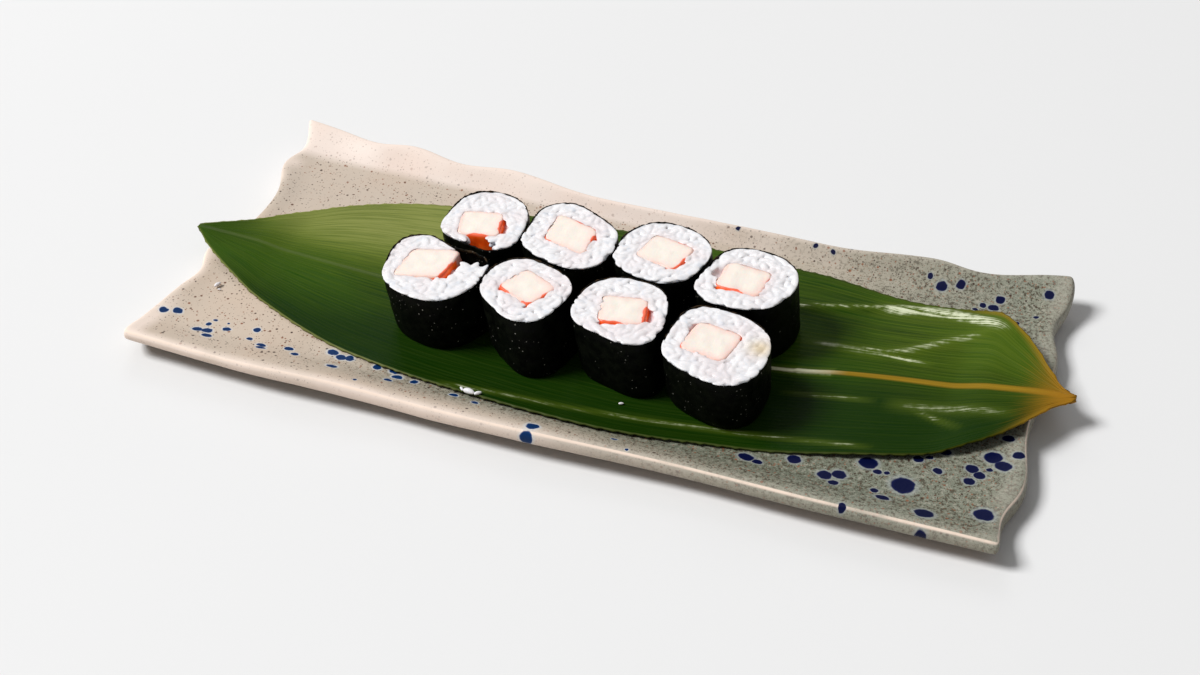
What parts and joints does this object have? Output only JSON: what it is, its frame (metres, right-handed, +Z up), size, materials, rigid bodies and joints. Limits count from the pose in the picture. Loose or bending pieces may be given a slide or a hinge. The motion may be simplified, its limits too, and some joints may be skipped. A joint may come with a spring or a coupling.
{
  "type": "maki sushi rolls on a rectangular plate",
  "caption": "Thin maki rolls of nori, rice and crab stick, standing in two rows on a bamboo leaf laid along a long speckled stoneware plate with turned-up edges, to serve from the hand",
  "frame": {"origin": "centre of the plate's flat underside", "axes": "+X along the plate's length, towards the leaf's stalk, +Y towards the plate's higher back edge, +Z up"},
  "size_m": [0.28, 0.1252, 0.0287],
  "materials": {
    "speckled_glaze": "glossy cream to grey-green glaze with brown specks and cobalt drops",
    "bamboo_leaf": "glossy green leaf with fine parallel veins",
    "nori": "nearly black dried seaweed, finely wrinkled",
    "rice": "moist pressed white rice",
    "crab_stick": "pale pink cut face with an orange-red skin down the sides"
  },
  "bodies": {
    "root": {"plate": "speckled_glaze", "leaf": "bamboo_leaf", "nori_front_1": "nori", "nori_front_2": "nori", "nori_front_3": "nori", "nori_front_4": "nori", "nori_back_1": "nori", "nori_back_2": "nori", "nori_back_3": "nori", "nori_back_4": "nori", "rice_front_1": "rice", "rice_front_2": "rice", "rice_front_3": "rice", "rice_front_4": "rice", "rice_back_1": "rice", "rice_back_2": "rice", "rice_back_3": "rice", "rice_back_4": "rice", "crab_stick_front_1": "crab_stick", "crab_stick_front_2": "crab_stick", "crab_stick_front_3": "crab_stick", "crab_stick_front_4": "crab_stick", "crab_stick_back_1": "crab_stick", "crab_stick_back_2": "crab_stick", "crab_stick_back_3": "crab_stick", "crab_stick_back_4": "crab_stick"}
  },
  "joints": []
}
